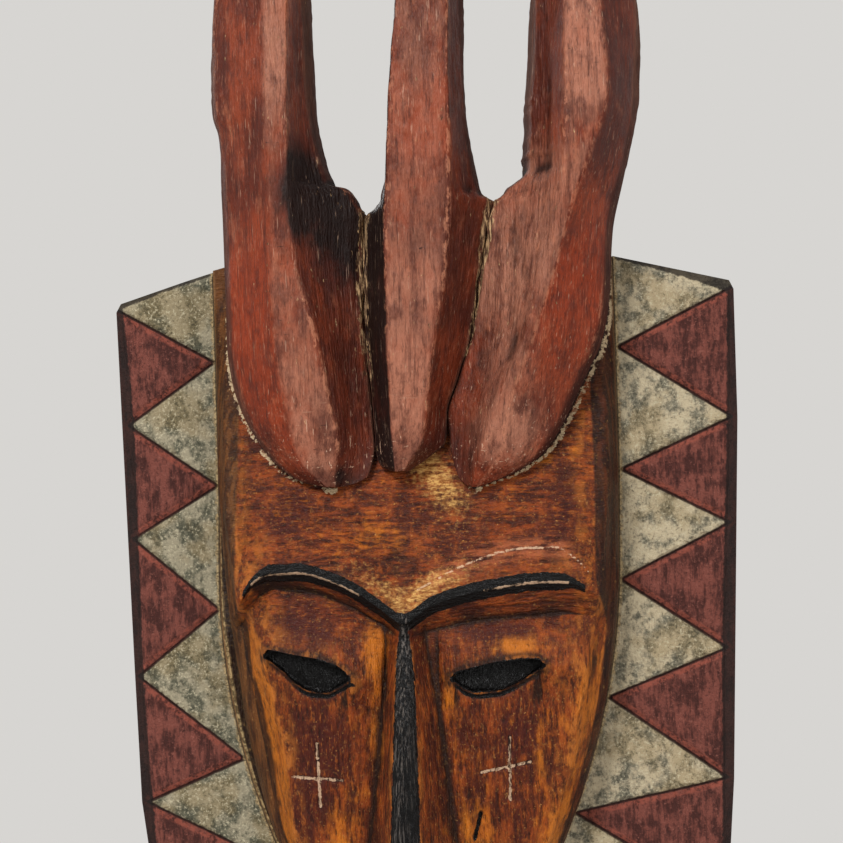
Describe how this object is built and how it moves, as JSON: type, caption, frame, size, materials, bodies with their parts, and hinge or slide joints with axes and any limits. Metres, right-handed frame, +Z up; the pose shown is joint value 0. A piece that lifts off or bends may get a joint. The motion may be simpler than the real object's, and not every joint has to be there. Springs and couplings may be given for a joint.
{
  "type": "carved wall mask",
  "caption": "Carved and painted wooden wall mask: long oval face with brow, lidded eyes and straight nose, upright horns above, and flat side boards with a zigzag border.",
  "frame": {"origin": "flat back of the mask, on solid wood above the hollow and below the hanger", "axes": "+Z up the mask, +X to the right as seen from the front, and the face looks along -Y; the flat back lies in y = 0"},
  "size_m": [0.2516, 0.0742, 0.4995],
  "materials": {
    "face_paint": "worn ochre and red-brown paint on carved wood, waxed",
    "horn_paint": "worn mahogany red paint on carved wood, waxed",
    "border_paint": "matt dark red and pale grey triangles on flat wood",
    "bare_wood": "unpainted hardwood",
    "hanger_steel": "dull zinc-plated steel"
  },
  "bodies": {
    "root": {"face_shell": "face_paint", "left_border_board": "border_paint", "right_border_board": "border_paint", "left_horn": "horn_paint", "centre_horn": "horn_paint", "right_horn": "horn_paint", "left_board_dowel_1": "bare_wood", "left_board_dowel_2": "bare_wood", "left_board_dowel_3": "bare_wood", "right_board_dowel_1": "bare_wood", "right_board_dowel_2": "bare_wood", "right_board_dowel_3": "bare_wood", "left_horn_peg_lower": "bare_wood", "left_horn_peg_upper": "bare_wood", "centre_horn_peg_lower": "bare_wood", "centre_horn_peg_upper": "bare_wood", "right_horn_peg_lower": "bare_wood", "right_horn_peg_upper": "bare_wood", "sawtooth_hanger": "hanger_steel", "left_hanger_nail": "hanger_steel", "right_hanger_nail": "hanger_steel"}
  },
  "joints": []
}
